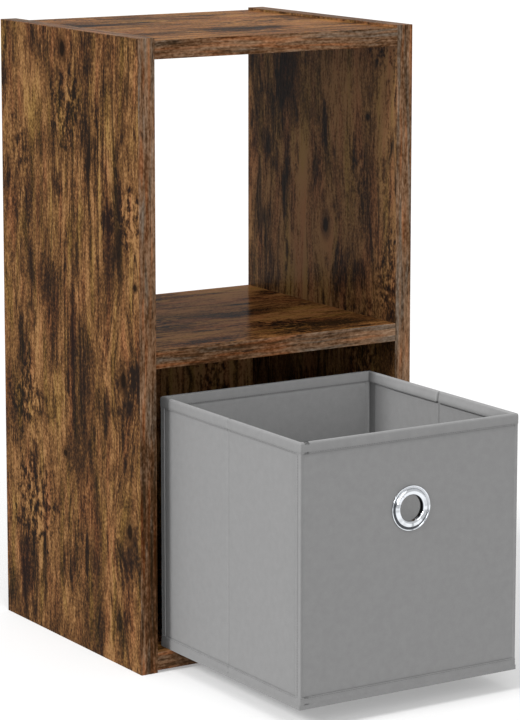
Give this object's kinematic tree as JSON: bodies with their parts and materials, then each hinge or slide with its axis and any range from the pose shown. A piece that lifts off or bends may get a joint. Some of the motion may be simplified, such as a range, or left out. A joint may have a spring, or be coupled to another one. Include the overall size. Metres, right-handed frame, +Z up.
{
  "type": "cube storage unit",
  "caption": "Open cube shelf in dark oak decor with a closed-back lower compartment and a grey folding fabric box that slides out of it.",
  "frame": {"origin": "on the floor under the middle of the whole object, fabric box pulled out as stored", "axes": "+Z up; the open front and the fabric box face -Y; +X to the right as seen from the front"},
  "size_m": [0.366, 0.5945, 0.72],
  "materials": {
    "oak_board": "dark smoked oak decor on particle board, satin",
    "oak_back": "dark oak decor on thin fibreboard, satin",
    "oak_edging": "wood-print edging strip, satin",
    "zinc": "die-cast zinc",
    "steel": "plated steel",
    "beech": "raw beech",
    "greyboard": "raw greyboard inside the fabric",
    "grey_fabric": "grey non-woven fabric, matt",
    "grey_binding": "grey non-woven binding tape with stitching, matt",
    "chrome": "polished chrome"
  },
  "bodies": {
    "cabinet": {"left_side": "oak_board", "right_side": "oak_board", "top_panel": "oak_board", "middle_shelf": "oak_board", "bottom_panel": "oak_board", "back_panel": "oak_back", "left_side_edging": "oak_edging", "right_side_edging": "oak_edging", "top_panel_edging": "oak_edging", "middle_shelf_edging": "oak_edging", "bottom_panel_edging": "oak_edging", "cam_locks": "zinc", "cam_bolts": "steel", "wood_dowels": "beech"},
    "box": {"back_wall_board": "greyboard", "back_wall_cover": "grey_fabric", "back_wall_rim_tape": "grey_binding", "back_wall_base_tape": "grey_binding", "bottom_fabric": "grey_fabric"},
    "base_insert": {"base_insert_board": "greyboard", "base_insert_cover": "grey_fabric"},
    "left_rear": {"left_rear_board": "greyboard", "left_rear_cover": "grey_fabric", "left_rear_rim_tape": "grey_binding", "left_rear_base_tape": "grey_binding"},
    "left_front": {"left_front_board": "greyboard", "left_front_cover": "grey_fabric", "left_front_rim_tape": "grey_binding", "left_front_base_tape": "grey_binding"},
    "front_wall": {"front_wall_board": "greyboard", "front_wall_cover": "grey_fabric", "front_wall_rim_tape": "grey_binding", "front_wall_base_tape": "grey_binding", "eyelet_rim": "chrome", "eyelet_washer": "chrome"},
    "right_rear": {"right_rear_board": "greyboard", "right_rear_cover": "grey_fabric", "right_rear_rim_tape": "grey_binding", "right_rear_base_tape": "grey_binding"},
    "right_front": {"right_front_board": "greyboard", "right_front_cover": "grey_fabric", "right_front_rim_tape": "grey_binding", "right_front_base_tape": "grey_binding"}
  },
  "joints": [
    {"name": "box_slide", "type": "slide", "parent": "cabinet", "child": "box", "axis": [0, -1, 0], "range_m": [-0.29, 0.05]},
    {"name": "base_insert_lift", "type": "slide", "parent": "box", "child": "base_insert", "axis": [0, 0, 1], "range_m": [0, 0.292]},
    {"name": "left_rear_fold", "type": "hinge", "parent": "box", "child": "left_rear", "pos_m": [-0.1392, -0.01155, 0.024], "axis": [0, 0, 1], "range_deg": [0, 77], "deforming": ["bottom_fabric"]},
    {"name": "left_front_fold", "type": "hinge", "parent": "left_rear", "child": "left_front", "pos_m": [-0.1452, -0.15075, 0.024], "axis": [0, 0, 1], "range_deg": [-154, 0]},
    {"name": "front_wall_fold", "type": "hinge", "parent": "left_front", "child": "front_wall", "pos_m": [-0.1392, -0.28995, 0.024], "axis": [0, 0, 1], "range_deg": [0, 77]},
    {"name": "right_rear_fold", "type": "hinge", "parent": "box", "child": "right_rear", "pos_m": [0.1352, -0.01155, 0.024], "axis": [0, 0, 1], "range_deg": [-77, 0]},
    {"name": "right_front_fold", "type": "hinge", "parent": "right_rear", "child": "right_front", "pos_m": [0.1412, -0.15075, 0.024], "axis": [0, 0, 1], "range_deg": [0, 154]}
  ],
  "couplings": [
    {"joint": "left_front_fold", "follows": "left_rear_fold", "ratio": -2},
    {"joint": "front_wall_fold", "follows": "left_rear_fold", "ratio": 1},
    {"joint": "right_rear_fold", "follows": "left_rear_fold", "ratio": -1},
    {"joint": "right_front_fold", "follows": "left_rear_fold", "ratio": 2}
  ]
}
